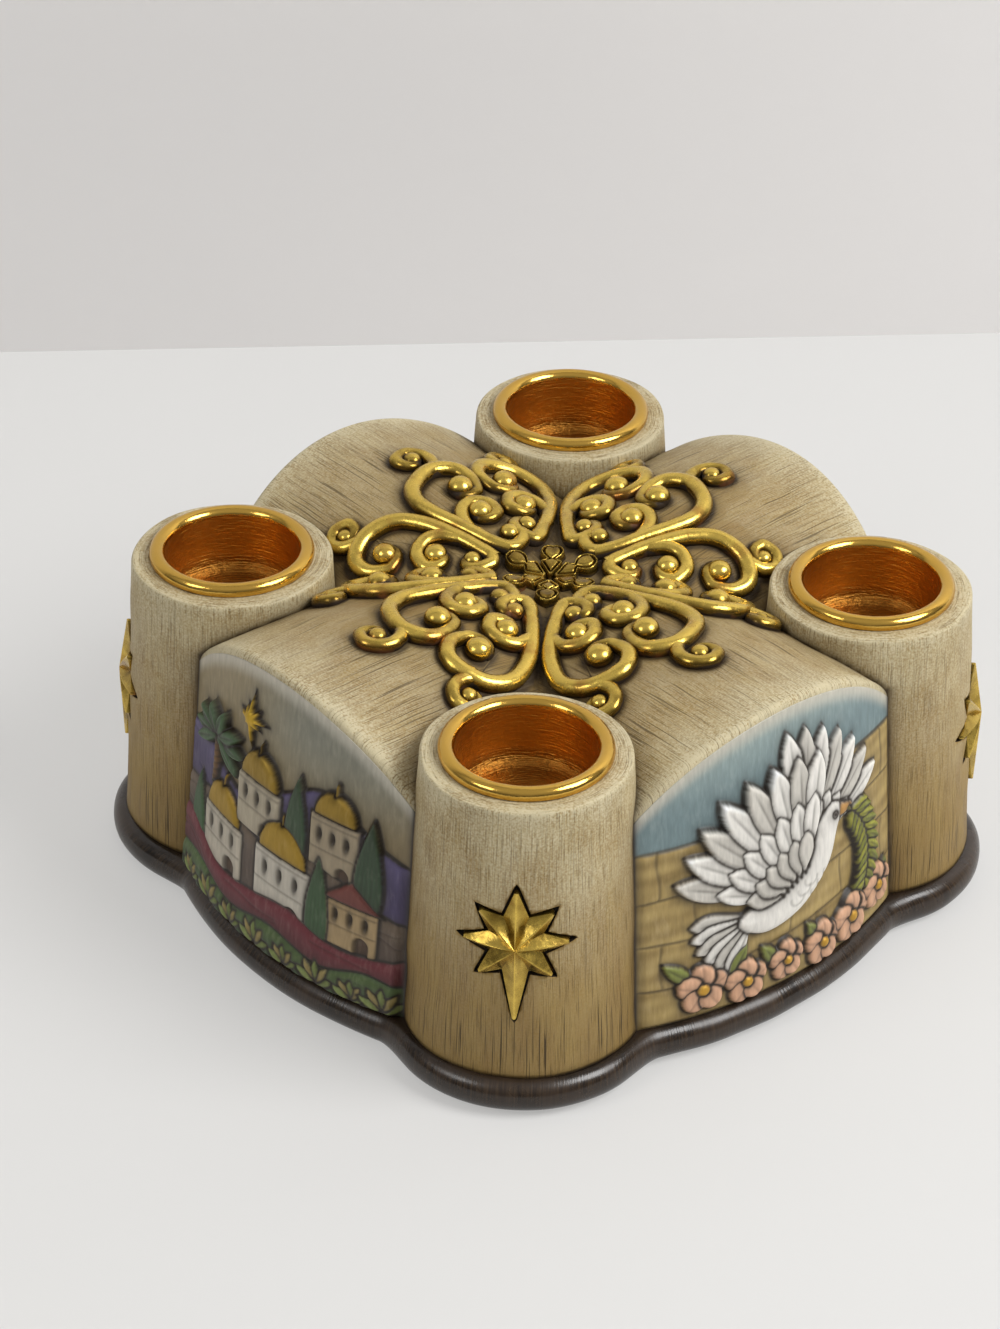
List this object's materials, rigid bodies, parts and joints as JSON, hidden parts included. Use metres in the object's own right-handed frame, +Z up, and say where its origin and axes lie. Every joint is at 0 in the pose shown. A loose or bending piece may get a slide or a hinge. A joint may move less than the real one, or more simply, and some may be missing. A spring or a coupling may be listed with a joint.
{
  "type": "advent candle holder",
  "caption": "Square tabletop candle holder: round towers with metal candle cups at the corners of an arched, scroll-topped body with relief panels, on a dark plinth.",
  "frame": {"origin": "under the centre of the plinth, on the surface that the felt pads rest on", "axes": "+Z up; the sides with relief panels face +X, +Y, -X and -Y; the towers stand on the diagonals"},
  "size_m": [0.1342, 0.1342, 0.0642],
  "materials": {
    "stone_resin": "dry-brushed matte",
    "plinth_brown": "satin",
    "painted_relief": "hand-painted matte",
    "antique_gold": "antiqued gold paint",
    "cup_brass": "polished",
    "felt": "felt"
  },
  "bodies": {
    "holder": {"plinth_base": "plinth_brown", "body_casting": "stone_resin", "tower_right": "stone_resin", "tower_back": "stone_resin", "tower_left": "stone_resin", "tower_front": "stone_resin", "star_right": "antique_gold", "star_back": "antique_gold", "star_left": "antique_gold", "star_front": "antique_gold", "felt_pad_right": "felt", "felt_pad_back": "felt", "felt_pad_left": "felt", "felt_pad_front": "felt", "relief_panel_front_right": "painted_relief", "relief_panel_back_right": "painted_relief", "relief_panel_back_left": "painted_relief", "relief_panel_front_left": "painted_relief", "scroll_ridge_front_right": "antique_gold", "scroll_ridge_back_right": "antique_gold", "scroll_ridge_back_left": "antique_gold", "scroll_ridge_front_left": "antique_gold", "scroll_valley_front_right": "antique_gold", "scroll_valley_back_right": "antique_gold", "scroll_valley_back_left": "antique_gold", "scroll_valley_front_left": "antique_gold", "scroll_minor_front_right": "antique_gold", "scroll_minor_back_right": "antique_gold", "scroll_minor_back_left": "antique_gold", "scroll_minor_front_left": "antique_gold", "centre_rosette": "antique_gold"},
    "cup_right": {"candle_cup_right": "cup_brass"},
    "cup_back": {"candle_cup_back": "cup_brass"},
    "cup_left": {"candle_cup_left": "cup_brass"},
    "cup_front": {"candle_cup_front": "cup_brass"}
  },
  "joints": [
    {"name": "candle_cup_right_lift", "type": "slide", "parent": "holder", "child": "cup_right", "axis": [0, 0, 1], "range_m": [0, 0.016]},
    {"name": "candle_cup_back_lift", "type": "slide", "parent": "holder", "child": "cup_back", "axis": [0, 0, 1], "range_m": [0, 0.016]},
    {"name": "candle_cup_left_lift", "type": "slide", "parent": "holder", "child": "cup_left", "axis": [0, 0, 1], "range_m": [0, 0.016]},
    {"name": "candle_cup_front_lift", "type": "slide", "parent": "holder", "child": "cup_front", "axis": [0, 0, 1], "range_m": [0, 0.016]}
  ]
}
